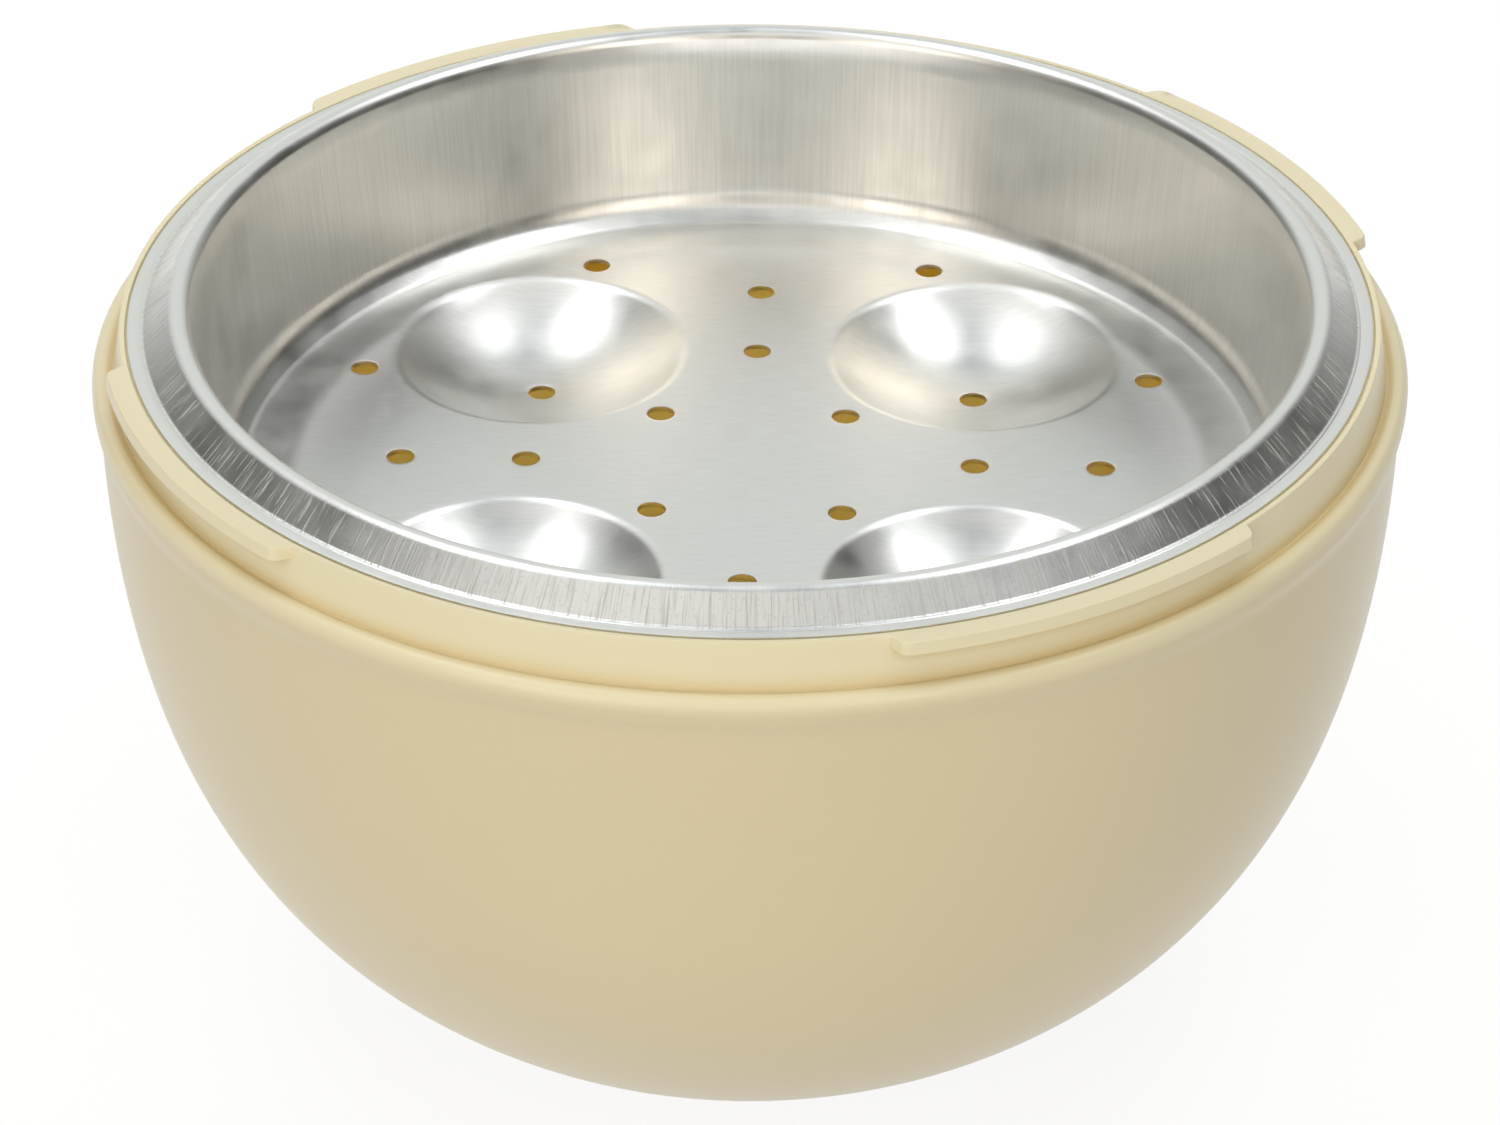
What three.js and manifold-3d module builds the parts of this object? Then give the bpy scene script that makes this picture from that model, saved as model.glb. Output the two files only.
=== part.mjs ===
// Round microwave egg boiler without its lid: a moulded base that holds water, and a loose pressed egg tray.
// Millimetres, +Z up, origin at the centre of the foot. Egg seats lie on the diagonals between X and Y.
import * as THREE from 'three';
import { mergeVertices } from 'three/addons/utils/BufferGeometryUtils.js';
import Module from 'manifold-3d';

// Base, outside
const shoulderRadius = 75; // widest point, just under the ledge for the lid
const shoulderDepth = 4; // from the ledge down to the top of the flank
const shoulderSwell = 0.7; // how far the shoulder stands out from the flank
const shoulderFlare = 1.7; // height over which it swells out
const shoulderBlend = 3.5; // radius of the soft curves into and out of the swell
const shoulderRound = 0.9; // edge between shoulder and ledge
const flankRun = 43.05; // pull of the curve where the flank leaves the shoulder
const flankLean = 0.25; // how far that pull leans in
const bellyRun = 27.5; // pull of the curve where the belly turns in to the foot
const bellyRise = 13.8; // height of that pull
const footRadius = 32.3;
const footRingWidth = 3.6; // flat ring that the base stands on
const footRecess = 1; // hollow inside the ring
const ledgeHeight = 81.65; // from the foot to the ledge
const ledgeWidth = 2.5; // from the shoulder in to the neck's foot
const neckHeight = 5.55; // from the ledge to the top of the lip
const neckDraft = 0.9; // how far the neck closes in from its foot to the lip
const neckFillet = 0.4; // hollow between ledge and neck
const lipRound = 0.2; // outer edge of the lip

// Base, inside
const baseWall = 2.4; // belly and bottom
const neckWall = 2.2; // neck, and with it the step that carries the tray
const lipWidth = 0.65; // thin lip around the tray's flange

// Bayonet lugs on the neck
const lugCount = 4;
const lugTurn = 31.5; // middle of the first lug, degrees from +X
const lugSpan = 36; // degrees along the lug's root
const lugReach = 1.9; // out from the lip
const lugHeight = 1.4; // down from the top of the lip
const lugTaper = 1.2; // how much shorter each end is at the lug's outer edge
const lugRound = 0.6; // upper outer edge

// Egg tray, pressed from one sheet
const sheet = 0.6;
const trayDepth = 21.2; // from the flange down to the floor
const flangeClearance = 0.3; // round the flange, inside the lip
const flangeWidth = 1.5; // flat part of the flange
const collarFillet = 0.6; // hollow between flange and collar
const collarSlope = 42; // degrees, outside of the rolled collar
const collarRise = 2.95; // top of the collar above the flange
const collarOuterBend = 1.8; // inner radius of the bend from the slope to the crest
const collarCrest = 0.1; // flat between the two bends
const collarInnerBend = 0.6; // inner radius of the bend from the crest down to the wall
const stepGap = 1.5; // upright part between the collar and the step below it
const stepWidth = 0.55; // small step in the wall
const stepInside = 0.3; // inner radius of the step's lower bend
const stepFillet = 0.4; // hollow of the step's upper bend
const wallLean = 1.66; // how far the wall closes in on its way to the floor
const floorFillet = 3.9;

// Egg seats and steam holes in the tray's floor
const seatCount = 4;
const seatRadius = 18.2; // where the floor starts to dip
const seatDepth = 6.3;
const seatEdgeInside = 1.9; // inner radius of the seat's soft edge
const seatMargin = 2.6; // flat floor left between a seat and the floor's fillet
const holeRadius = 1.65;
const holesRoundSeat = 3; // evenly spaced, one of them towards the tray's centre
const holeToSeat = 3.25; // from a seat's edge out to the holes round it
const holeSpacing = 14.6; // between the two holes on each axis
const cutMargin = 1; // how far cutting shapes pass the sheet

// Fineness of the round shapes
const bodySides = 64;
const seatSides = 28;
const holeSides = 10;
const arcStep = THREE.MathUtils.degToRad(24);
const curveSteps = 12;
const filletShare = 0.9; // most of a neighbouring edge that one rounding may take

// Places that follow from the sizes above
const neckFootRadius = shoulderRadius - ledgeWidth;
const neckRadius = neckFootRadius - neckDraft; // at the lip
const seatStepRadius = neckRadius - lipWidth;
const neckInner = neckRadius - neckWall;
const rimHeight = ledgeHeight + neckHeight;
const seatStepHeight = rimHeight - sheet;
const innerFloor = footRecess + baseWall;
const flangeRadius = seatStepRadius - flangeClearance;
const floorHeight = rimHeight - trayDepth;

const wasm = await Module();
wasm.setup();

// Outline points from corners [r, z, rounding]: a rounded corner becomes an arc, limited by its neighbours.
function roundedOutline(corners) {
  const places = corners.map(([r, z]) => new THREE.Vector2(r, z));
  const points = [];
  corners.forEach(([, , rounding = 0], i) => {
    const corner = places[i];
    if (rounding === 0) {
      points.push(corner);
      return;
    }
    const toBefore = places[i - 1].clone().sub(corner);
    const toAfter = places[i + 1].clone().sub(corner);
    const room = filletShare * Math.min(toBefore.length(), toAfter.length());
    toBefore.normalize();
    toAfter.normalize();
    const half = Math.acos(THREE.MathUtils.clamp(toBefore.dot(toAfter), -1, 1)) / 2;
    const radius = Math.min(rounding, room * Math.tan(half));
    const reach = radius / Math.tan(half);
    const start = corner.clone().addScaledVector(toBefore, reach);
    const end = corner.clone().addScaledVector(toAfter, reach);
    const centre = toBefore.clone().add(toAfter).setLength(radius / Math.sin(half)).add(corner);
    const firstAngle = start.clone().sub(centre).angle();
    const turn = Math.sign(toAfter.cross(toBefore)) * (Math.PI - 2 * half);
    const steps = Math.max(1, Math.ceil(Math.abs(turn) / arcStep));
    for (let s = 0; s < steps; s++) {
      const angle = firstAngle + (turn * s) / steps;
      const spoke = new THREE.Vector2(Math.cos(angle), Math.sin(angle));
      points.push(centre.clone().addScaledVector(spoke, radius));
    }
    points.push(end);
  });
  return points;
}

// Closed outline of a sheet: upper runs outwards along its upper face, the thickness lies below or outside.
function sheetOutline(upper, thickness) {
  const last = upper.length - 1;
  const lower = upper.map((point, i) => {
    const arriving = point.clone().sub(upper[Math.max(i - 1, 0)]).normalize();
    const leaving = upper[Math.min(i + 1, last)].clone().sub(point).normalize();
    const along = arriving.add(leaving).normalize();
    const away = new THREE.Vector2(along.y, -along.x);
    const stretch = i < last ? 1 / along.dot(leaving) : 1; // keeps the thickness in a bend
    return point.clone().addScaledVector(away, thickness * stretch);
  });
  return [...lower, ...upper.reverse()];
}

// A closed geometry as a solid that can be joined and cut.
function solidFrom(geometry) {
  geometry.deleteAttribute('normal');
  geometry.deleteAttribute('uv');
  const merged = mergeVertices(geometry);
  const corners = merged.index.array;
  const triangles = [];
  for (let i = 0; i < corners.length; i += 3) {
    const [a, b, c] = corners.slice(i, i + 3);
    if (a !== b && b !== c && c !== a) triangles.push(a, b, c);
  }
  const vertProperties = merged.attributes.position.array;
  const triVerts = new Uint32Array(triangles);
  return new wasm.Manifold(new wasm.Mesh({ numProp: 3, vertProperties, triVerts }));
}

function turned(outline, sides) {
  return solidFrom(new THREE.LatheGeometry(outline, sides).rotateX(Math.PI / 2));
}

function namedMesh(name, solid, material) {
  const { vertProperties, triVerts } = solid.getMesh();
  const geometry = new THREE.BufferGeometry();
  geometry.setAttribute('position', new THREE.BufferAttribute(vertProperties, 3));
  geometry.setIndex(new THREE.BufferAttribute(triVerts, 1));
  const flat = geometry.toNonIndexed();
  flat.computeVertexNormals();
  const mesh = new THREE.Mesh(flat, material);
  mesh.name = name;
  return mesh;
}

// Outer curve of the belly and flank, from the foot's edge up to the shoulder.
function flankCurve() {
  const flankRadius = shoulderRadius - shoulderSwell;
  const flankTop = ledgeHeight - shoulderDepth;
  return new THREE.CubicBezierCurve(
    new THREE.Vector2(footRadius, 0),
    new THREE.Vector2(footRadius + bellyRun, bellyRise),
    new THREE.Vector2(flankRadius - flankLean, flankTop - flankRun),
    new THREE.Vector2(flankRadius, flankTop),
  );
}

// Inner curve of the belly: the outer one less the wall, from the inner floor up to the neck's straight bore.
function innerCurve(outer) {
  const scanSteps = 400;
  const offset = (t) => {
    const along = outer.getTangent(t);
    return outer.getPoint(t).add(new THREE.Vector2(-along.y, along.x).multiplyScalar(baseWall));
  };
  const inside = [];
  for (let s = 0; s <= scanSteps; s++) {
    const point = offset(s / scanSteps);
    if (point.y > innerFloor && point.x < neckInner) inside.push(s / scanSteps);
  }
  const first = inside[0];
  const last = inside[inside.length - 1];
  const points = [];
  for (let s = 0; s <= curveSteps; s++) points.push(offset(first + ((last - first) * s) / curveSteps));
  return points;
}

function baseBody() {
  const outer = flankCurve();
  const flank = outer.getPoints(curveSteps).slice(1, -1);
  const flankEnd = outer.getPoint(1);
  const bore = innerCurve(outer).reverse();
  const floorEdge = bore[bore.length - 1];
  return turned(roundedOutline([
    [0, footRecess],
    [footRadius - footRingWidth - footRecess, footRecess],
    [footRadius - footRingWidth, 0],
    [footRadius, 0],
    ...flank.map((point) => point.toArray()),
    [flankEnd.x, flankEnd.y, shoulderBlend],
    [shoulderRadius, flankEnd.y + shoulderFlare, shoulderBlend],
    [shoulderRadius, ledgeHeight, shoulderRound],
    [neckFootRadius, ledgeHeight, neckFillet],
    [neckRadius, rimHeight, lipRound],
    [seatStepRadius, rimHeight],
    [seatStepRadius, seatStepHeight],
    [neckInner, seatStepHeight],
    ...bore.map((point) => point.toArray()),
    [floorEdge.x, innerFloor],
    [0, innerFloor],
  ]), bodySides);
}

// One ring with the lugs' section, cut down to the lugs by wedges with slanting ends.
function bayonetLugs() {
  const root = neckRadius - lipWidth / 2;
  const nose = neckRadius + lugReach;
  const ring = turned(roundedOutline([
    [root, rimHeight - lugHeight],
    [nose, rimHeight - lugHeight],
    [nose, rimHeight, lugRound],
    [root, rimHeight],
    [root, rimHeight - lugHeight],
  ]), bodySides);
  const halfRoot = THREE.MathUtils.degToRad(lugSpan) / 2;
  const past = nose + lugReach; // the wedges pass the nose, and their ends slant on
  const halfPast = halfRoot - (2 * lugTaper) / nose;
  const plan = new THREE.Shape();
  plan.moveTo(neckRadius * Math.cos(halfRoot), neckRadius * Math.sin(halfRoot));
  plan.absarc(0, 0, past, halfPast, -halfPast, true);
  plan.lineTo(neckRadius * Math.cos(halfRoot), -neckRadius * Math.sin(halfRoot));
  plan.lineTo((neckRadius - neckWall) * Math.cos(halfRoot), 0);
  plan.closePath();
  const wedgeSettings = { depth: lugHeight + 2 * cutMargin, bevelEnabled: false, curveSegments: curveSteps };
  const wedge = new THREE.ExtrudeGeometry(plan, wedgeSettings);
  wedge.translate(0, 0, rimHeight - lugHeight - cutMargin);
  const firstLug = THREE.MathUtils.degToRad(lugTurn);
  let wedges = null;
  for (let i = 0; i < lugCount; i++) {
    const placed = solidFrom(wedge.clone().rotateZ(firstLug + (2 * Math.PI * i) / lugCount));
    wedges = wedges ? wedges.add(placed) : placed;
  }
  return ring.intersect(wedges);
}

// Upper face of the tray from its centre to the edge of the flange, and the radius of its flat floor.
function trayFace() {
  const slope = THREE.MathUtils.degToRad(collarSlope);
  const outerBend = collarOuterBend + sheet;
  const innerBend = collarInnerBend + sheet;
  const collarFoot = flangeRadius - flangeWidth - collarFillet * Math.tan(slope / 2);
  const collarTop = rimHeight + collarRise;
  const collarOuter = collarFoot - collarRise / Math.tan(slope);
  const collarInner = collarOuter - outerBend * Math.tan(slope / 2) - collarCrest - innerBend;
  const stepTop = collarTop - innerBend - stepGap;
  const wallTop = collarInner - stepWidth;
  const wallFoot = wallTop - wallLean;
  const lean = Math.atan2(wallLean, stepTop - stepWidth - floorHeight);
  const flatRadius = wallFoot - floorFillet * Math.tan(Math.PI / 4 - lean / 2);
  const upper = roundedOutline([
    [0, floorHeight],
    [wallFoot, floorHeight, floorFillet],
    [wallTop, stepTop - stepWidth, stepInside + sheet],
    [collarInner, stepTop, stepFillet],
    [collarInner, collarTop, innerBend],
    [collarOuter, collarTop, outerBend],
    [collarFoot, rimHeight, collarFillet],
    [flangeRadius, rimHeight],
  ]);
  return { upper, flatRadius };
}

// Section of an egg seat, from its lowest point to its edge: a ball's cap with a soft edge.
function seatFace(below) {
  const edge = seatEdgeInside + sheet;
  const reach = (seatRadius ** 2 / seatDepth + seatDepth) / 2; // between the centres of ball and edge
  const slope = Math.asin(seatRadius / reach);
  const ball = reach - edge + below;
  const capSteps = 5;
  const edgeSteps = 3;
  const points = [];
  for (let s = 0; s <= capSteps; s++) {
    const angle = (slope * s) / capSteps;
    const height = reach - edge - seatDepth - ball * Math.cos(angle);
    points.push(new THREE.Vector2(ball * Math.sin(angle), floorHeight + height));
  }
  for (let s = 1; s <= edgeSteps; s++) {
    const angle = slope * (1 - s / edgeSteps);
    const drop = edge - (edge - below) * Math.cos(angle);
    points.push(new THREE.Vector2(seatRadius - (edge - below) * Math.sin(angle), floorHeight - drop));
  }
  return points;
}

// Solid whose lower face is the seat's section at a distance below its upper face, closed by a flat top.
function cappedSeat(below, top) {
  const lid = [new THREE.Vector2(seatRadius, top), new THREE.Vector2(0, top)];
  return turned([...seatFace(below), ...lid], seatSides);
}

// Centres of the steam holes: one in each seat, a ring round each seat, and two between each pair of seats.
function holeCentres(seats) {
  const ringRadius = seatRadius + holeToSeat;
  const centres = [];
  seats.forEach(({ radius, angle }) => {
    const seat = new THREE.Vector2(radius, 0);
    centres.push(seat.clone().rotateAround(new THREE.Vector2(), angle));
    for (let i = 0; i < holesRoundSeat; i++) {
      const ringAngle = Math.PI + (2 * Math.PI * i) / holesRoundSeat;
      const spoke = new THREE.Vector2(ringRadius * Math.cos(ringAngle), ringRadius * Math.sin(ringAngle));
      centres.push(spoke.add(seat).rotateAround(new THREE.Vector2(), angle));
    }
    const between = angle + Math.PI / seatCount;
    const inner = radius * Math.cos(Math.PI / seatCount);
    for (const r of [inner, inner + holeSpacing]) {
      centres.push(new THREE.Vector2(r * Math.cos(between), r * Math.sin(between)));
    }
  });
  return centres;
}

function trayBody() {
  const { upper, flatRadius } = trayFace();
  const seats = [];
  const radius = flatRadius - seatRadius - seatMargin;
  for (let i = 0; i < seatCount; i++) seats.push({ radius, angle: (2 * Math.PI * (i + 0.5)) / seatCount });
  const atSeats = (solid) => seats
    .map(({ angle }) => solid.translate([radius * Math.cos(angle), radius * Math.sin(angle), 0]))
    .reduce((all, one) => all.add(one));
  const pressed = atSeats(cappedSeat(sheet, floorHeight - sheet / 2));
  const dips = atSeats(cappedSeat(0, floorHeight + cutMargin));
  const holeLength = seatDepth + sheet + 2 * cutMargin;
  const punch = new THREE.CylinderGeometry(holeRadius, holeRadius, holeLength, holeSides);
  punch.rotateX(Math.PI / 2).translate(0, 0, floorHeight + cutMargin - holeLength / 2);
  const hole = solidFrom(punch);
  const holes = holeCentres(seats)
    .map(({ x, y }) => hole.translate([x, y, 0]))
    .reduce((all, one) => all.add(one));
  return turned(sheetOutline(upper, sheet), bodySides).add(pressed).subtract(dips).subtract(holes);
}

const creamPlastic = new THREE.MeshStandardMaterial({ color: 0xd8c8a2, roughness: 0.42, metalness: 0 });
const aluminium = new THREE.MeshStandardMaterial({ color: 0xd0d3d0, roughness: 0.28, metalness: 1 });

const eggBoiler = new THREE.Group();
eggBoiler.add(namedMesh('base_shell', baseBody().add(bayonetLugs()), creamPlastic));
eggBoiler.add(namedMesh('egg_tray', trayBody(), aluminium));

export default eggBoiler;
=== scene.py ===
# Microwave egg boiler: a moulded plastic base with a loose egg tray pressed from aluminium sheet
import bpy
import bmesh
import math
from mathutils import Matrix, Vector
from mathutils.geometry import interpolate_bezier


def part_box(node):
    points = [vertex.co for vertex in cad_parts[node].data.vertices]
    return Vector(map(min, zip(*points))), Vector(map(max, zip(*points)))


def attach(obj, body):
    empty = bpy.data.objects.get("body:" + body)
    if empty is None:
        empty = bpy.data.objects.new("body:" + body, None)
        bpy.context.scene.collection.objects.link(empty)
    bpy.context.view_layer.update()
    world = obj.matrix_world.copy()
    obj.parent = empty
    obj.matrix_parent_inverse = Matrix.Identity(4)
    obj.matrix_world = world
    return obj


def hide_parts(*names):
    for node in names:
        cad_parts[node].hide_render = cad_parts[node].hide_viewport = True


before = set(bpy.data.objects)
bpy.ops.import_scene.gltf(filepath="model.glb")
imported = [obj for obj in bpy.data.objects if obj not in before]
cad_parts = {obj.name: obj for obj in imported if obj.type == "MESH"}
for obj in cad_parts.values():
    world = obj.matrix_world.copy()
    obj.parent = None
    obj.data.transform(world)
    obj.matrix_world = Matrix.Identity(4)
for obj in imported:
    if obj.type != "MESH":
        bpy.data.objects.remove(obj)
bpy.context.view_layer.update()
mm = 0.001
mergeDistance = 0.002 * mm
roundProfile = 0.5  # a bevel with this profile is an arc
origin = (0, 0, 0)
upright = (0, 0, 1)
scene = bpy.context.scene
print("frame loaded")


def linear(hexColour):  # sRGB hex to linear
    parts = [int(hexColour[i:i + 2], 16) / 255 for i in (1, 3, 5)]
    return [part / 12.92 if part <= 0.04045 else ((part + 0.055) / 1.055) ** 2.4 for part in parts] + [1]


def addNode(tree, kind, settings=None, links=None):
    node = tree.nodes.new(kind)
    for name, value in (settings or {}).items():
        if isinstance(name, int) or name in node.inputs:
            node.inputs[name].default_value = value
        else:
            setattr(node, name, value)
    for name, socket in (links or {}).items():
        tree.links.new(socket, node.inputs[name])
    return node


def newMaterial(name):
    material = bpy.data.materials.new(name)
    material.use_nodes = True
    material.node_tree.nodes.clear()
    return material, material.node_tree


def onlyVerts(geom):
    return [part for part in geom if isinstance(part, bmesh.types.BMVert)]


# wire of a few corners (radius, height, rounding) in mm; the rounding is its run along each edge
def drawSection(bm, corners, steps):
    points = [bm.verts.new((corner[0] * mm, 0, corner[1] * mm)) for corner in corners]
    for pair in zip(points, points[1:]):
        bm.edges.new(pair)
    for point, corner in zip(points, corners):
        if len(corner) > 2:
            bmesh.ops.bevel(bm, geom=[point], offset=corner[2] * mm, segments=steps, profile=roundProfile,
                            affect="VERTICES", material=-1)


def spinRound(bm, geom, sides):
    bmesh.ops.spin(bm, geom=geom, cent=origin, axis=upright, angle=2 * math.pi, steps=sides, use_merge=True)


def makePiece(bm, name, material):
    mesh = bpy.data.meshes.new(name)
    bm.to_mesh(mesh)
    bm.free()
    mesh.shade_smooth()
    mesh.materials.append(material)
    piece = bpy.data.objects.new(name, mesh)
    scene.collection.objects.link(piece)
    return piece


# camera, set to the photograph's viewing angle; lengths in mm
cameraSettings = {
    "azimuth": 1.93, "elevation": 31.93, "distance": 628.6, "aimHeight": 52.3,
    "lens": 128.5, "sensor": 36, "nearest": 10,
}

azimuth = math.radians(cameraSettings["azimuth"])
elevation = math.radians(cameraSettings["elevation"])
back = Vector((math.sin(azimuth) * math.cos(elevation), -math.cos(azimuth) * math.cos(elevation),
               math.sin(elevation)))
cameraData = bpy.data.cameras.new("camera")
cameraData.lens = cameraSettings["lens"]
cameraData.sensor_width = cameraSettings["sensor"]
cameraData.clip_start = cameraSettings["nearest"] * mm
camera = bpy.data.objects.new("camera", cameraData)
camera.location = Vector((0, 0, cameraSettings["aimHeight"] * mm)) + back * cameraSettings["distance"] * mm
camera.rotation_mode = "QUATERNION"
camera.rotation_quaternion = (-back).to_track_quat("-Z", "Y")
scene.collection.objects.link(camera)
scene.camera = camera
print("camera placed")


# polypropylene, injection moulded in a fine matt mould: soft broad gloss, and light passes a thin wall as
# amber; the mould's grain is drawn coarser than the real one, so that it shows
plasticSettings = {
    "colour": "#e0d3b0", "driftColour": "#dccea9", "driftSize": 45,
    "grainSize": 0.5, "grainDepth": 0.02, "grainStrength": 0.06, "noiseDetail": 2,
    # painted glow and painted highlight: above these heights the neck, lugs, lip and shoulder bead are
    # painted paler
    "paintedGlowColour": "#ebe1be", "paintedGlowFrom": 80, "paintedGlowTo": 81.5,
    # painted shade in the groove and under the lugs, found by ambient occlusion
    "paintedShadeColour": "#d9bb78", "paintedShadeReach": 2.2, "paintedShadeStrength": 1.05,
    "paintedShadeTop": 86.2, "paintedShadeFade": 0.4,
    "ior": 1.49, "glossRange": (0.26, 0.33), "lightReach": 21, "lightReachShares": (1.0, 0.56, 0.3),
    "cavityHeight": 60, "cavityRadius": 70, "cavityFade": 1,
}


def creamPlastic(settings):
    material, tree = newMaterial("satinMouldedPolypropylene")
    place = addNode(tree, "ShaderNodeTexCoord")
    split = addNode(tree, "ShaderNodeSeparateXYZ", links={0: place.outputs["Object"]})
    noises = {}
    for kind in ("drift", "grain"):
        noise = addNode(tree, "ShaderNodeTexNoise", {"Scale": 1 / (settings[kind + "Size"] * mm),
                                                     "Detail": settings["noiseDetail"]},
                        {"Vector": place.outputs["Object"]})
        noises[kind] = noise.outputs["Fac"]
    tone = addNode(tree, "ShaderNodeMix", {"data_type": "RGBA", 6: linear(settings["colour"]),
                                           7: linear(settings["driftColour"])}, {0: noises["drift"]})
    paintedGlowShare = addNode(tree, "ShaderNodeMapRange",
                   {"From Min": settings["paintedGlowFrom"] * mm, "From Max": settings["paintedGlowTo"] * mm},
                   {"Value": split.outputs[2]})
    paintedGlowTone = addNode(tree, "ShaderNodeMix", {"data_type": "RGBA", 7: linear(settings["paintedGlowColour"])},
                    {0: paintedGlowShare.outputs["Result"], 6: tone.outputs[2]})  # painted glow on the thin neck, lugs and lip, and painted highlight along the shoulder bead

    # painted shade: in the groove and under the lugs, found by ambient occlusion below the lip's top, the
    # colour is painted a darker orange tan, standing in for shade there and for light that has come through
    # the plastic
    paintedShadeOcclusion = addNode(tree, "ShaderNodeAmbientOcclusion", {"Distance": settings["paintedShadeReach"] * mm,
                                                            "only_local": True})
    paintedShadeBelowLip = addNode(tree, "ShaderNodeMapRange",
                    {"From Min": settings["paintedShadeTop"] * mm,
                     "From Max": (settings["paintedShadeTop"] + settings["paintedShadeFade"]) * mm,
                     "To Min": settings["paintedShadeStrength"], "To Max": 0}, {"Value": split.outputs[2]})
    paintedShadeShare = addNode(tree, "ShaderNodeMapRange", {"From Min": 1, "From Max": 0},
                   {"Value": paintedShadeOcclusion.outputs["AO"], "To Max": paintedShadeBelowLip.outputs["Result"]})
    paintedShadeTone = addNode(tree, "ShaderNodeMix", {"data_type": "RGBA", 7: linear(settings["paintedShadeColour"])},
                     {0: paintedShadeShare.outputs["Result"], 6: paintedGlowTone.outputs[2]})

    # light that has passed the wall shows on the faces that look into the cavity
    toCavity = addNode(tree, "ShaderNodeVectorMath",
                       {"operation": "SUBTRACT", 0: (0, 0, settings["cavityHeight"] * mm)},
                       {1: place.outputs["Object"]})
    facing = addNode(tree, "ShaderNodeVectorMath", {"operation": "DOT_PRODUCT"},
                     {0: toCavity.outputs[0], 1: place.outputs["Normal"]})
    lit = addNode(tree, "ShaderNodeMapRange", {"From Min": 0, "From Max": settings["cavityFade"] * mm},
                  {"Value": facing.outputs["Value"]})
    flat = addNode(tree, "ShaderNodeCombineXYZ", links={0: split.outputs[0], 1: split.outputs[1]})
    radius = addNode(tree, "ShaderNodeVectorMath", {"operation": "LENGTH"}, {0: flat.outputs[0]})
    within = addNode(tree, "ShaderNodeMath", {"operation": "LESS_THAN", 1: settings["cavityRadius"] * mm},
                     {0: radius.outputs["Value"]})
    through = addNode(tree, "ShaderNodeMath", {"operation": "MULTIPLY"},
                      {0: lit.outputs["Result"], 1: within.outputs[0]})

    smoothest, roughest = settings["glossRange"]
    gloss = addNode(tree, "ShaderNodeMapRange", {"To Min": smoothest, "To Max": roughest},
                    {"Value": noises["drift"]})
    bump = addNode(tree, "ShaderNodeBump",
                   {"Strength": settings["grainStrength"], "Distance": settings["grainDepth"] * mm},
                   {"Height": noises["grain"]})
    shader = addNode(tree, "ShaderNodeBsdfPrincipled",
                     {"IOR": settings["ior"], "Subsurface Radius": settings["lightReachShares"],
                      "Subsurface Scale": settings["lightReach"] * mm},
                     {"Base Color": paintedShadeTone.outputs[2], "Roughness": gloss.outputs["Result"],
                      "Normal": bump.outputs["Normal"], "Subsurface Weight": through.outputs[0]})
    addNode(tree, "ShaderNodeOutputMaterial", links={"Surface": shader.outputs["BSDF"]})
    return material


# aluminium sheet, rolled, then drawn and pressed: bright and a little scuffed, short rolling lines on floor
# and seats, and marks up the wall and across the collar, the way that the metal slid in the tool;
# lines and scratches are drawn several times coarser than the real ones, so that they show
sheetSettings = {
    "colour": "#f6f6f3", "dullColour": "#b4b3ae", "wallRadius": 62,
    "marks": {  # width and length of one mark, depth of the bump
        "roll": (0.22, 3.5, 0.005), "draw": (0.34, 11, 0.006),
        "column": (4, 60, 0.06), "scratch": (0.22, 9, 0.028),
    },
    "markDetail": 3, "rollDrop": 0.2,
    "spots": {"pit": (0.45, 1), "scuff": (5, 4), "patch": (16, 1)},  # size and detail
    "fades": {  # distance from the axis at its start, its run, and the shares before and after it
        "fromFloor": (59.5, 2, 0, 1), "belowCrest": (62.9, 0.8, 1, 0),
        "pastCrest": (65.3, 1, 0, 1), "beforeFlange": (69.1, 0.1, 1, 0),
        "rubbed": (34, 18, 0, 0.5), "beforeBend": (52, 5, 1, 0),
    },
    "tones": {  # the noise it follows, the noise values it runs between, and its shares there
        "rollDull": ("roll", 0.35, 0.65, 0, 0.12), "drawLines": ("draw", 0.38, 0.62, 0, 1),
        "patchDull": ("patch", 0.4, 0.6, 0.1, 0.17), "scratchDull": ("scratch", 0.48, 0.66, 0, 0.35),
        "pitDull": ("pit", 0.6, 0.7, 0, 0.25), "gloss": ("scuff", 0.3, 0.7, 0.28, 0.4),
        "scratchGloss": ("scratch", 0.54, 0.63, 0, 0.75),
    },
}


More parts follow.
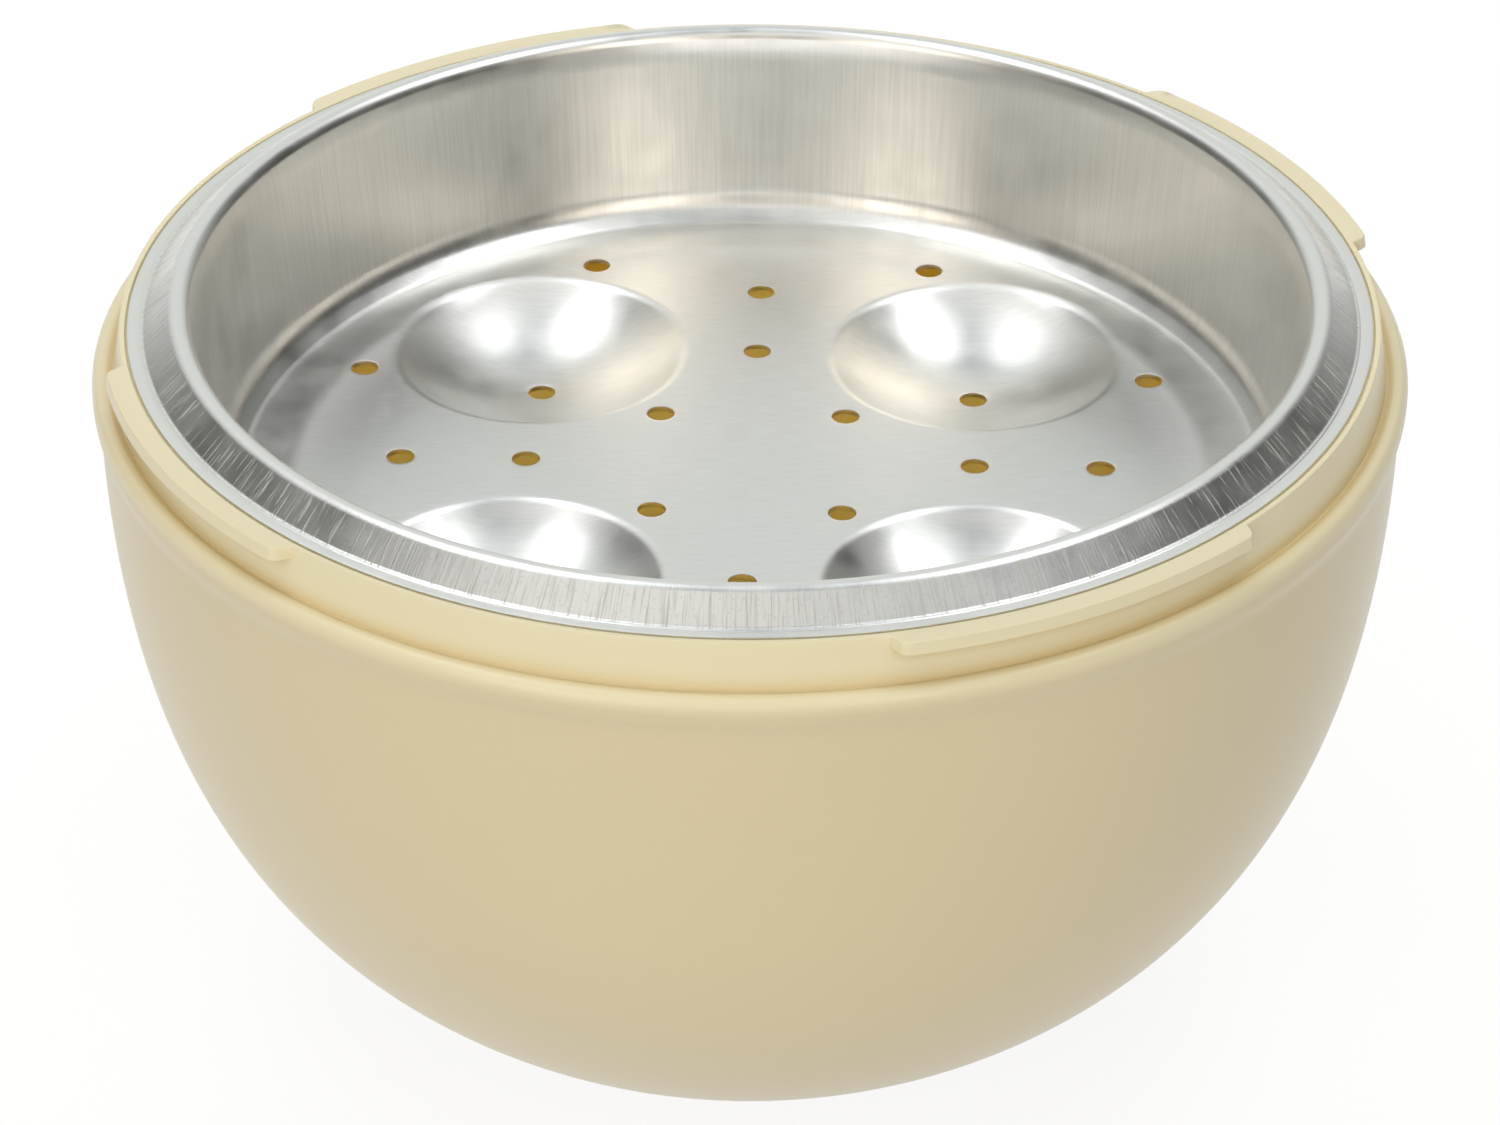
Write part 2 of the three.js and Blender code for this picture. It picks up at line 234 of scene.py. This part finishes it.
def drawnAluminium(settings):
    material, tree = newMaterial("drawnAluminiumSheet")
    place = addNode(tree, "ShaderNodeTexCoord")
    split = addNode(tree, "ShaderNodeSeparateXYZ", links={0: place.outputs["Object"]})
    flat = addNode(tree, "ShaderNodeCombineXYZ", links={0: split.outputs[0], 1: split.outputs[1]})
    radius = addNode(tree, "ShaderNodeVectorMath", {"operation": "LENGTH"}, {0: flat.outputs[0]})
    outward = addNode(tree, "ShaderNodeVectorMath", {"operation": "NORMALIZE"}, {0: flat.outputs[0]})
    turn = addNode(tree, "ShaderNodeVectorMath",
                   {"operation": "SCALE", "Scale": settings["wallRadius"] * mm}, {0: outward.outputs[0]})
    along = addNode(tree, "ShaderNodeMath", {"operation": "SUBTRACT"},
                    {0: radius.outputs["Value"], 1: split.outputs[2]})

    noises = {}
    heights = {}
    for kind, (width, length, depth) in settings["marks"].items():
        if kind == "roll":  # narrow across the sheet, long along it
            at = addNode(tree, "ShaderNodeMapping", {"Scale": (width / length, 1, settings["rollDrop"])},
                         {"Vector": place.outputs["Object"]})
        else:  # narrow round the tray, long down the wall and across the collar
            down = addNode(tree, "ShaderNodeMath", {"operation": "MULTIPLY", 1: width / length},
                           {0: along.outputs[0]})
            drop = addNode(tree, "ShaderNodeCombineXYZ", links={2: down.outputs[0]})
            at = addNode(tree, "ShaderNodeVectorMath", {"operation": "ADD"},
                         {0: turn.outputs[0], 1: drop.outputs[0]})
        noise = addNode(tree, "ShaderNodeTexNoise",
                        {"Scale": 1 / (width * mm), "Detail": settings["markDetail"]},
                        {"Vector": at.outputs[0]})
        height = addNode(tree, "ShaderNodeMapRange", {"To Min": -depth / 2, "To Max": depth / 2},
                         {"Value": noise.outputs["Fac"]})  # mm above or below the sheet's face
        noises[kind] = noise.outputs["Fac"]
        heights[kind] = height.outputs["Result"]
    for kind, (size, detail) in settings["spots"].items():
        noise = addNode(tree, "ShaderNodeTexNoise", {"Scale": 1 / (size * mm), "Detail": detail},
                        {"Vector": place.outputs["Object"]})
        noises[kind] = noise.outputs["Fac"]
    fades = {}
    for name, (start, run, before, after) in settings["fades"].items():
        fade = addNode(tree, "ShaderNodeMapRange", {"From Min": start * mm, "From Max": (start + run) * mm,
                                                    "To Min": before, "To Max": after},
                       {"Value": radius.outputs["Value"]})
        fades[name] = fade.outputs["Result"]
    tones = {}
    for name, (kind, low, high, first, last) in settings["tones"].items():
        share = addNode(tree, "ShaderNodeMapRange",
                        {"From Min": low, "From Max": high, "To Min": first, "To Max": last},
                        {"Value": noises[kind]})
        tones[name] = share.outputs["Result"]

    onCollar = addNode(tree, "ShaderNodeMath", {"operation": "MULTIPLY"},
                       {0: fades["pastCrest"], 1: fades["beforeFlange"]})
    wallHeight = addNode(tree, "ShaderNodeMath", {"operation": "ADD"},
                         {0: heights["draw"], 1: heights["column"]})
    wallDull = addNode(tree, "ShaderNodeMath", {"operation": "MULTIPLY"},
                       {0: tones["drawLines"], 1: tones["patchDull"]})
    slopeDull = addNode(tree, "ShaderNodeMath", {"operation": "MAXIMUM"},
                        {0: tones["scratchDull"], 1: tones["pitDull"]})
    layers = {
        "height": (heights["roll"], wallHeight.outputs[0], heights["scratch"]),
        "dull": (tones["rollDull"], wallDull.outputs[0], slopeDull.outputs[0]),
    }
    for name, (onFloor, onWall, onSlope) in layers.items():
        inside = addNode(tree, "ShaderNodeMix", {"data_type": "FLOAT"},
                         {0: fades["fromFloor"], 2: onFloor, 3: onWall})
        calmed = addNode(tree, "ShaderNodeMath", {"operation": "MULTIPLY"},
                         {0: inside.outputs[0], 1: fades["belowCrest"]})  # crest and flange stay smooth
        layers[name] = addNode(tree, "ShaderNodeMix", {"data_type": "FLOAT"},
                               {0: onCollar.outputs[0], 2: calmed.outputs[0], 3: onSlope})
    bump = addNode(tree, "ShaderNodeBump", {"Strength": 1, "Distance": mm},
                   {"Height": layers["height"].outputs[0]})
    tone = addNode(tree, "ShaderNodeMix",
                   {"data_type": "RGBA", 6: linear(settings["colour"]), 7: linear(settings["dullColour"])},
                   {0: layers["dull"].outputs[0]})

    rubbedRing = addNode(tree, "ShaderNodeMath", {"operation": "MULTIPLY"},
                         {0: fades["rubbed"], 1: fades["beforeBend"]})  # the floor is dullest near its edge
    onSheet = addNode(tree, "ShaderNodeMath", {"operation": "MAXIMUM"},
                      {0: tones["gloss"], 1: rubbedRing.outputs[0]})
    roughSlope = addNode(tree, "ShaderNodeMath", {"operation": "MULTIPLY"},
                         {0: tones["scratchGloss"], 1: onCollar.outputs[0]})
    finish = addNode(tree, "ShaderNodeMath", {"operation": "MAXIMUM"},  # rough scratches catch light
                     {0: onSheet.outputs[0], 1: roughSlope.outputs[0]})
    shader = addNode(tree, "ShaderNodeBsdfPrincipled", {"Metallic": 1},
                     {"Base Color": tone.outputs[2], "Roughness": finish.outputs[0],
                      "Normal": bump.outputs["Normal"]})
    addNode(tree, "ShaderNodeOutputMaterial", links={"Surface": shader.outputs["BSDF"]})
    return material


# base: one moulding with foot, flank, shoulder, ledge, neck, thin lip and four lugs; lengths in mm,
# angles in degrees
baseSettings = {
    "sides": 240, "roundSteps": 6,
    "footRadius": 32.3, "footRing": 3.6, "footRecess": 1, "footEdge": 0.5,
    "bellyPull": (27.5, 13.8), "flankPull": (-0.25, -43.05), "flankPoints": 48,
    "shoulderDepth": 4, "shoulderSwell": 0.7, "shoulderFlare": 1.7,
    "shoulderBlend": 0.8, "shoulderRound": 1.2,
    "ledgeHeight": 81.65, "ledgeWidth": 2.5, "ledgeSwell": 0.35, "grooveWidth": 0.8, "grooveRound": 0.2,
    "neckFlare": 0.9, "wall": 2.4, "neckWall": 2.2,
    "lipWidth": 0.65, "lipEdge": 0.2, "lipSteps": 3, "stepDepth": 0.6, "stepEdge": 0.15,
    "lugs": 4, "lugTurn": 31.5, "lugSpan": 36, "lugReach": 1.9, "lugHeight": 1.4, "lugTaper": 0.93,
    "lugEndRound": 1.4, "lugEndSteps": 6, "lugRound": 0.6, "lugSteps": 4, "lugEdgeAngle": 46,
    "sharpAngle": 40,
}


def mouldBase(settings, material):
    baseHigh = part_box("base_shell")[1]
    shoulderRadius = baseHigh.x / mm
    rim = baseHigh.z / mm
    ledge = settings["ledgeHeight"]
    neckFoot = shoulderRadius - settings["ledgeWidth"]
    neck = neckFoot - settings["neckFlare"]
    lugFoot = rim - settings["lugHeight"]
    lugRoot = neck + settings["neckFlare"] * settings["lugHeight"] / (rim - ledge)
    bore = neck - settings["neckWall"]
    lipInside = neck - settings["lipWidth"]
    step = rim - settings["stepDepth"]
    foot = settings["footRadius"]
    recess = settings["footRecess"]
    ring = foot - settings["footRing"]
    insideFloor = recess + settings["wall"]
    flankTop = Vector((shoulderRadius - settings["shoulderSwell"], ledge - settings["shoulderDepth"]))
    footEdge = Vector((foot, 0))
    flank = interpolate_bezier(footEdge, footEdge + Vector(settings["bellyPull"]),
                               flankTop + Vector(settings["flankPull"]), flankTop, settings["flankPoints"])
    inside = []
    for before, here, after in zip(flank, flank[1:], flank[2:]):
        along = (after - before).normalized()
        point = here.to_2d() + settings["wall"] * Vector((-along.y, along.x))
        if point.x < bore and point.y > insideFloor:
            inside.append(point)
    bm = bmesh.new()
    drawSection(bm, [
        (0, recess),
        (ring - recess, recess, settings["footEdge"]),
        (ring, 0, settings["footEdge"]),
        (foot, 0, settings["footEdge"]),
        *[tuple(point[:2]) for point in flank[1:-1]],
        (flankTop.x, flankTop.y, settings["shoulderBlend"]),
        (shoulderRadius, flankTop.y + settings["shoulderFlare"], settings["shoulderBlend"]),
        (shoulderRadius, ledge + settings["ledgeSwell"], settings["shoulderRound"]),
        (neckFoot + settings["grooveWidth"], ledge + settings["ledgeSwell"], settings["grooveRound"]),
        (neckFoot, ledge, settings["grooveRound"]),
        (lugRoot, lugFoot),
        (neck, rim),
        (lipInside, rim, settings["stepEdge"]),
        (lipInside, step, settings["stepEdge"]),
        (bore, step, settings["stepEdge"]),
        *[tuple(point) for point in reversed(inside)],
        (inside[0].x, insideFloor),
        (0, insideFloor),
    ], settings["roundSteps"])
    spinRound(bm, bm.verts[:] + bm.edges[:], settings["sides"])
    bmesh.ops.remove_doubles(bm, verts=bm.verts[:], dist=mergeDistance)
    bmesh.ops.recalc_face_normals(bm, faces=bm.faces[:])

    # lugs: the top band of the neck is drawn out at four places
    half = settings["lugSpan"] / 2
    pitch = 360 / settings["lugs"]
    slack = 0.01 * mm  # for picking points by place
    angleSlack = 0.1
    neckRadius = neck * mm
    top = rim * mm - slack

    def fromLug(place):  # degrees from the middle of the nearest lug
        angle = math.degrees(math.atan2(place.y, place.x)) - settings["lugTurn"]
        return (angle + pitch / 2) % pitch - pitch / 2

    def onNeck(place):
        return place.xy.length > neckRadius - slack and place.z > lugFoot * mm - slack

    def roundEdges(edges, run, steps):
        bmesh.ops.bevel(bm, geom=edges, offset=run * mm, segments=steps, profile=roundProfile,
                        affect="EDGES", material=-1, clamp_overlap=True)

    band = [face for face in bm.faces if all(onNeck(vert.co) for vert in face.verts)
            and abs(fromLug(face.calc_center_median())) < half]
    drawn = bmesh.ops.extrude_face_region(bm, geom=band)["geom"]
    bmesh.ops.delete(bm, geom=band, context="FACES")
    nose = onlyVerts(drawn)
    outwards = (neck + settings["lugReach"]) / neck
    bmesh.ops.scale(bm, vec=(outwards, outwards, 1), verts=nose)
    for side in (-1, 1):
        ends = [vert for vert in nose if abs(fromLug(vert.co) - side * half) < angleSlack]
        slant = Matrix.Rotation(math.radians(-side * settings["lugTaper"]), 3, "Z")
        bmesh.ops.rotate(bm, cent=origin, matrix=slant, verts=ends)
    endAngle = half - settings["lugTaper"] - angleSlack
    noseSet = set(nose)
    corners = [edge for edge in bm.edges
               if all(vert in noseSet and abs(fromLug(vert.co)) > endAngle for vert in edge.verts)]
    roundEdges(corners, settings["lugEndRound"], settings["lugEndSteps"])

    def upperEdge(edge):  # round the lug, but not where its top runs into the lip
        high = all(vert.co.z > top for vert in edge.verts)
        past = [vert.co.xy.length > neckRadius + slack for vert in edge.verts]
        atEnd = [abs(fromLug(vert.co)) > half - angleSlack for vert in edge.verts]
        outside = all(pair[0] or pair[1] for pair in zip(past, atEnd))
        bent = edge.calc_face_angle(0) > math.radians(settings["lugEdgeAngle"])
        return high and any(past) and outside and bent

    roundEdges([edge for edge in bm.edges if upperEdge(edge)], settings["lugRound"], settings["lugSteps"])
    lipEdges = [edge for edge in bm.edges if all(vert.co.z > top for vert in edge.verts)
                and all(abs(vert.co.xy.length - neckRadius) < slack for vert in edge.verts)
                and abs(fromLug((edge.verts[0].co + edge.verts[1].co) / 2)) > half]
    roundEdges(lipEdges, settings["lipEdge"], settings["lipSteps"])
    bmesh.ops.remove_doubles(bm, verts=bm.verts[:], dist=mergeDistance)
    bmesh.ops.recalc_face_normals(bm, faces=bm.faces[:])
    piece = makePiece(bm, "base_moulding", material)
    piece.data.set_sharp_from_angle(angle=math.radians(settings["sharpAngle"]))
    return piece


# tray: one pressing with flange, rolled collar, drawn wall, floor, four egg seats and steam holes;
# lengths in mm, angles in degrees
traySettings = {
    "sides": 240, "seatSides": 96, "holeSides": 28, "roundSteps": 8, "capSteps": 16, "seatEdgeSteps": 8,
    "sheet": 0.6, "depth": 21.2, "flangeWidth": 1.5,
    "collarFillet": 0.6, "collarSlope": 42, "collarRise": 2.95,
    "collarShoulder": 1.6, "collarCrest": 0.05, "collarRoll": 1.2,
    "stepGap": 1.1, "stepWidth": 0.75, "stepRound": 0.8, "wallLean": 1.79, "floorFillet": 3.9,
    "bendRun": 2.5, "bendRise": 2.0, "bendRound": 0.6, "bendTopRound": 1.5,
    "seats": 4, "seatRadius": 18.2, "seatDepth": 6.3, "seatEdge": 2.5, "seatMargin": 2.6,
    "holeRadius": 1.65, "holesRoundSeat": 3, "holeToSeat": 3.25, "holeSpacing": 14.6,
    "flatBand": 0.4, "cutEdge": 0.12, "cutEdgeSteps": 2, "cutEdgeAngle": 50,
    "creaseRadius": 69.35, "creaseWidth": 0.4, "creaseDepth": 0.09, "creaseRound": 0.06,
}


def pressTray(settings, material):
    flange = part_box("egg_tray")[1].x / mm
    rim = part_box("base_shell")[1].z / mm
    floor = rim - settings["depth"]
    slope = math.radians(settings["collarSlope"])
    roll = settings["collarRoll"]
    footRun = settings["collarFillet"] * math.tan(slope / 2)
    shoulderRun = settings["collarShoulder"] * math.tan(slope / 2)
    collarFoot = flange - settings["flangeWidth"] - footRun
    collarTop = rim + settings["collarRise"]
    collarShoulder = collarFoot - settings["collarRise"] / math.tan(slope)
    collarInner = collarShoulder - shoulderRun - settings["collarCrest"] - roll
    wallTop = collarInner - settings["stepWidth"]
    wallFoot = wallTop - settings["wallLean"]
    wallHeight = collarTop - roll - settings["stepGap"] - settings["stepWidth"] - floor
    lean = math.atan2(settings["wallLean"], wallHeight)
    flatRadius = wallFoot - settings["floorFillet"] * math.tan(math.pi / 4 - lean / 2)
    bendTop = wallFoot + settings["wallLean"] * settings["bendRise"] / wallHeight
    seatCircle = flatRadius - settings["seatMargin"] - settings["seatRadius"]
    crease = settings["creaseRadius"]
    creaseHalf = settings["creaseWidth"] / 2

    # wall, collar and flange are one turned section that starts on the flat floor
    bm = bmesh.new()
    drawSection(bm, [
        (flatRadius - settings["flatBand"], floor),
        (wallFoot - settings["bendRun"], floor, settings["bendRound"]),
        (bendTop, floor + settings["bendRise"], settings["bendTopRound"]),
        (wallTop, floor + wallHeight, settings["stepRound"]),
        (collarInner, collarTop, roll),
        (collarShoulder, collarTop, shoulderRun),
        (collarFoot, rim, footRun),
        (crease - creaseHalf, rim, settings["creaseRound"]),
        (crease, rim - settings["creaseDepth"], settings["creaseRound"]),
        (crease + creaseHalf, rim, settings["creaseRound"]),
        (flange, rim),
    ], settings["roundSteps"])
    spinRound(bm, bm.verts[:] + bm.edges[:], settings["sides"])

    # one seat's section: a ball's cap from the hole's edge, then the soft edge, then a narrow flat band
    older = set(bm.verts)
    seatEdge = settings["seatEdge"]
    seatRadius = settings["seatRadius"]
    reach = (seatRadius ** 2 / settings["seatDepth"] + settings["seatDepth"]) / 2
    seatSlope = math.asin(seatRadius / reach)
    ball = reach - seatEdge
    holeAngle = math.asin(settings["holeRadius"] / ball)
    ballCentre = Vector((0, 0, floor - settings["seatDepth"] + ball)) * mm
    edgeCentre = Vector((seatRadius, 0, floor - seatEdge)) * mm
    start = bm.verts.new(ballCentre + Vector((math.sin(holeAngle), 0, -math.cos(holeAngle))) * ball * mm)
    cap = bmesh.ops.spin(bm, geom=[start], cent=ballCentre, axis=(0, -1, 0), angle=seatSlope - holeAngle,
                         steps=settings["capSteps"])
    soft = bmesh.ops.spin(bm, geom=onlyVerts(cap["geom_last"]), cent=edgeCentre, axis=(0, 1, 0),
                          angle=seatSlope, steps=settings["seatEdgeSteps"])
    tip = onlyVerts(soft["geom_last"])[0]
    rimPoint = bm.verts.new(tip.co + Vector((settings["flatBand"] * mm, 0, 0)))
    bm.edges.new((tip, rimPoint))
    section = [vert for vert in bm.verts if vert not in older]
    sectionEdges = list({edge for vert in section for edge in vert.link_edges})
    spinRound(bm, section + sectionEdges, settings["seatSides"])
    seat = [vert for vert in bm.verts if vert not in older]
    bmesh.ops.translate(bm, verts=seat, vec=(seatCircle * mm, 0, 0))
    quarter = 2 * math.pi / settings["seats"]
    bmesh.ops.rotate(bm, cent=origin, matrix=Matrix.Rotation(quarter / 2, 3, "Z"), verts=seat)
    seatFaces = list({face for vert in seat for face in vert.link_faces})
    for i in range(1, settings["seats"]):
        copied = onlyVerts(bmesh.ops.duplicate(bm, geom=seatFaces)["geom"])
        bmesh.ops.rotate(bm, cent=origin, matrix=Matrix.Rotation(quarter * i, 3, "Z"), verts=copied)
    bmesh.ops.remove_doubles(bm, verts=bm.verts[:], dist=mergeDistance)

    # rings for the holes in the flat floor: three round each seat and two between each pair of seats
    def towards(angle):
        return Vector((math.cos(angle), math.sin(angle), 0))

    holeCircle = seatRadius + settings["holeToSeat"]
    centres = []
    for i in range(settings["seats"]):
        angle = quarter * (i + 0.5)
        for j in range(settings["holesRoundSeat"]):
            spoke = angle + math.pi + 2 * math.pi * j / settings["holesRoundSeat"]
            centres.append(towards(angle) * seatCircle + towards(spoke) * holeCircle)
        inner = seatCircle * math.cos(quarter / 2)
        for distance in (inner, inner + settings["holeSpacing"]):
            centres.append(towards(angle + quarter / 2) * distance)
    ringRadius = settings["holeRadius"] + settings["flatBand"]
    rings = []
    for centre in centres:
        middle = Vector((centre.x, centre.y, floor)) * mm
        made = bmesh.ops.create_circle(bm, segments=settings["holeSides"], radius=ringRadius * mm,
                                       matrix=Matrix.Translation(middle))
        rings.append((middle, list({edge for vert in made["verts"] for edge in vert.link_edges})))

    # the floor is filled between the wall, the seats and the rings, then each ring closes in on its hole
    level = floor * mm
    levelSlack = 0.005 * mm
    borders = [edge for edge in bm.edges if len(edge.link_faces) < 2
               and all(abs(vert.co.z - level) < levelSlack for vert in edge.verts)]
    bmesh.ops.triangle_fill(bm, use_beauty=True, use_dissolve=False, edges=borders, normal=upright)
    closeIn = settings["holeRadius"] / ringRadius
    for middle, ring in rings:
        inner = onlyVerts(bmesh.ops.extrude_edge_only(bm, edges=ring)["geom"])
        bmesh.ops.scale(bm, vec=(closeIn, closeIn, 1), space=Matrix.Translation(-middle), verts=inner)
    bmesh.ops.remove_doubles(bm, verts=bm.verts[:], dist=mergeDistance)
    bmesh.ops.recalc_face_normals(bm, faces=bm.faces[:])
    middleFace = min(bm.faces, key=lambda face: face.calc_center_median().xy.length)
    if middleFace.normal.z < 0:
        bmesh.ops.reverse_faces(bm, faces=bm.faces[:])
    piece = makePiece(bm, "tray_pressing", material)
    thickness = piece.modifiers.new("sheet", "SOLIDIFY")
    thickness.thickness = settings["sheet"] * mm
    thickness.offset = -1
    thickness.use_even_offset = True
    softened = piece.modifiers.new("cut edges", "BEVEL")
    softened.width = settings["cutEdge"] * mm
    softened.segments = settings["cutEdgeSteps"]
    softened.limit_method = "ANGLE"
    softened.angle_limit = math.radians(settings["cutEdgeAngle"])
    return piece


plastic = creamPlastic(plasticSettings)
aluminium = drawnAluminium(sheetSettings)

base = mouldBase(baseSettings, plastic)
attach(base, "base")
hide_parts("base_shell")
print("base moulded")

tray = pressTray(traySettings, aluminium)
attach(tray, "tray")
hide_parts("egg_tray")
print("tray pressed")


# studio: pale floor, a tent with dark sides and two tall windows in front, and lamps; lengths in metres
studioSettings = {
    "floorSize": 8, "floorColour": "#dcdcda", "floorGlow": 1.1, "glowShare": 0.8, "white": (1, 1, 1, 1),
    # light from each side of the tent
    "front": (0.35, 0.33, 0.3, 1), "frontLow": (1.48, 1.45, 1.42, 1), "window": (2.7, 2.46, 2.1, 1),
    "back": (0.69, 0.71, 0.69, 1), "left": (0.1, 0.1, 0.09, 1), "right": (0.05, 0.05, 0.045, 1),
    "ceiling": (0.28, 0.31, 0.33, 1), "ceilingFront": (0.92, 0.91, 0.87, 1),
    # how one side fades into the next: axis of the direction, start and end along it, and the shares there
    "fades": {
        "back": (1, 0, 0.5, 0, 1), "besideBack": (1, 0.6, 0.85, 1, 0.4),
        "inFront": (1, -0.45, -0.6, 0, 1),
        "toLeft": (0, -0.52, -0.72, 0, 1), "toRight": (0, 0.28, 0.5, 0, 1),
        "aboveFloor": (2, 0.15, 0.35, 0, 1), "overhead": (2, 0.7, 0.86, 0, 1),
    },
    "windowShift": 0.03, "windowPlace": 0.43, "windowFade": (0.18, 0.08),
    "ceilingSkew": 0.35, "ceilingFade": (-0.15, -0.4),
}


# painted board: seen and mirrored it is nearly white, but it throws less light back on the plastic
def paleFloor(settings):
    material, tree = newMaterial("paleFloor")
    rays = addNode(tree, "ShaderNodeLightPath")
    seen = addNode(tree, "ShaderNodeMath", {"operation": "MAXIMUM"},
                   {0: rays.outputs["Is Camera Ray"], 1: rays.outputs["Is Glossy Ray"]})
    share = addNode(tree, "ShaderNodeMath", {"operation": "MULTIPLY", 1: settings["glowShare"]},
                    {0: seen.outputs[0]})
    matt = addNode(tree, "ShaderNodeBsdfDiffuse", {"Color": linear(settings["floorColour"])})
    glow = addNode(tree, "ShaderNodeEmission",
                   {"Color": settings["white"], "Strength": settings["floorGlow"]})
    mix = addNode(tree, "ShaderNodeMixShader",
                  links={0: share.outputs[0], 1: matt.outputs[0], 2: glow.outputs[0]})
    addNode(tree, "ShaderNodeOutputMaterial", links={"Surface": mix.outputs[0]})
    return material


def lightTent(settings):
    world = bpy.data.worlds.new("studio")
    world.use_nodes = True
    tree = world.node_tree
    tree.nodes.clear()
    rays = addNode(tree, "ShaderNodeLightPath")
    heading = addNode(tree, "ShaderNodeTexCoord")
    split = addNode(tree, "ShaderNodeSeparateXYZ", links={0: heading.outputs["Generated"]})
    shares = {}
    for name, (axis, start, end, first, last) in settings["fades"].items():
        fade = addNode(tree, "ShaderNodeMapRange", {"From Min": start, "From Max": end,
                                                    "To Min": first, "To Max": last},
                       {"Value": split.outputs[axis]})
        shares[name] = fade.outputs["Result"]
    off = split.outputs[0]
    steps = (("ADD", settings["windowShift"]), ("ABSOLUTE", 0),
             ("SUBTRACT", settings["windowPlace"]), ("ABSOLUTE", 0))
    for operation, amount in steps:  # distance from the nearer window
        off = addNode(tree, "ShaderNodeMath", {"operation": operation, 1: amount}, {0: off}).outputs[0]
    askew = addNode(tree, "ShaderNodeMath", {"operation": "MULTIPLY_ADD", 1: settings["ceilingSkew"]},
                    {0: split.outputs[0], 2: split.outputs[1]})
    for name, value in (("window", off), ("ceiling", askew.outputs[0])):
        start, end = settings[name + "Fade"]
        fade = addNode(tree, "ShaderNodeMapRange", {"From Min": start, "From Max": end}, {"Value": value})
        shares[name] = fade.outputs["Result"]
    pairs = (("left", "toLeft", "besideBack"), ("right", "toRight", "besideBack"),
             ("windowHigh", "inFront", "aboveFloor"), ("window", "window", "windowHigh"))
    for name, one, other in pairs:  # the dark sides grow paler towards the back
        both = addNode(tree, "ShaderNodeMath", {"operation": "MULTIPLY"},
                       {0: shares[one], 1: shares[other]})
        shares[name] = both.outputs[0]
    ceiling = addNode(tree, "ShaderNodeMix", {"data_type": "RGBA", 6: settings["ceiling"],
                                              7: settings["ceilingFront"]}, {0: shares["ceiling"]})
    tent = addNode(tree, "ShaderNodeMix",
                   {"data_type": "RGBA", 6: settings["frontLow"], 7: settings["front"]},
                   {0: shares["aboveFloor"]})
    for name in ("back", "left", "right", "window"):
        tent = addNode(tree, "ShaderNodeMix", {"data_type": "RGBA", 7: settings[name]},
                       {0: shares[name], 6: tent.outputs[2]})
    roofed = addNode(tree, "ShaderNodeMix", {"data_type": "RGBA"},
                     {0: shares["overhead"], 6: tent.outputs[2], 7: ceiling.outputs[2]})
    shown = addNode(tree, "ShaderNodeMix", {"data_type": "RGBA", 7: settings["white"]},
                    {0: rays.outputs["Is Camera Ray"], 6: roofed.outputs[2]})  # plain white behind the part
    surround = addNode(tree, "ShaderNodeBackground", {"Strength": 1}, {"Color": shown.outputs[2]})
    addNode(tree, "ShaderNodeOutputWorld", links={"Surface": surround.outputs[0]})
    return world


bm = bmesh.new()
bmesh.ops.create_grid(bm, x_segments=1, y_segments=1, size=studioSettings["floorSize"] / 2)
floorPiece = makePiece(bm, "floor", paleFloor(studioSettings))
scene.world = lightTent(studioSettings)

# two soft boxes overhead show in the seats; the other lamps only light the plastic
softBoxes = {
    "left": {"place": (-0.43, 0.42, 1.347), "size": (0.5, 1.3), "turn": (33.7, 0), "power": 4.2,
             "mirrored": True},
    "right": {"place": (0.51, 0.42, 1.347), "size": (0.56, 1.3), "turn": (33.7, 0), "power": 4.7,
              "mirrored": True},
    "key": {"place": (-0.4, -1.42, 0.6), "size": (1.2, 0.8), "turn": (70, -15.7), "power": 4.6,
            "mirrored": False},
    "top": {"place": (0, 0, 1.6), "size": (0.9, 0.9), "turn": (0, 0), "power": 2.2,
            "mirrored": False},
    "fill": {"place": (0, 1.48, 0.6), "size": (1.2, 0.8), "turn": (-70, 0), "power": 4.4,
             "mirrored": False},
}
for name, box in softBoxes.items():
    lamp = bpy.data.lights.new("softBox_" + name, "AREA")
    lamp.shape = "ELLIPSE"
    lamp.size, lamp.size_y = box["size"]
    lamp.energy = box["power"]
    lampPiece = bpy.data.objects.new("softBox_" + name, lamp)
    lampPiece.location = box["place"]
    lampPiece.rotation_euler.x = math.radians(box["turn"][0])
    lampPiece.rotation_euler.z = math.radians(box["turn"][1])
    lampPiece.visible_glossy = box["mirrored"]
    scene.collection.objects.link(lampPiece)
scene.view_settings.view_transform = "Standard"
print("studio lit")
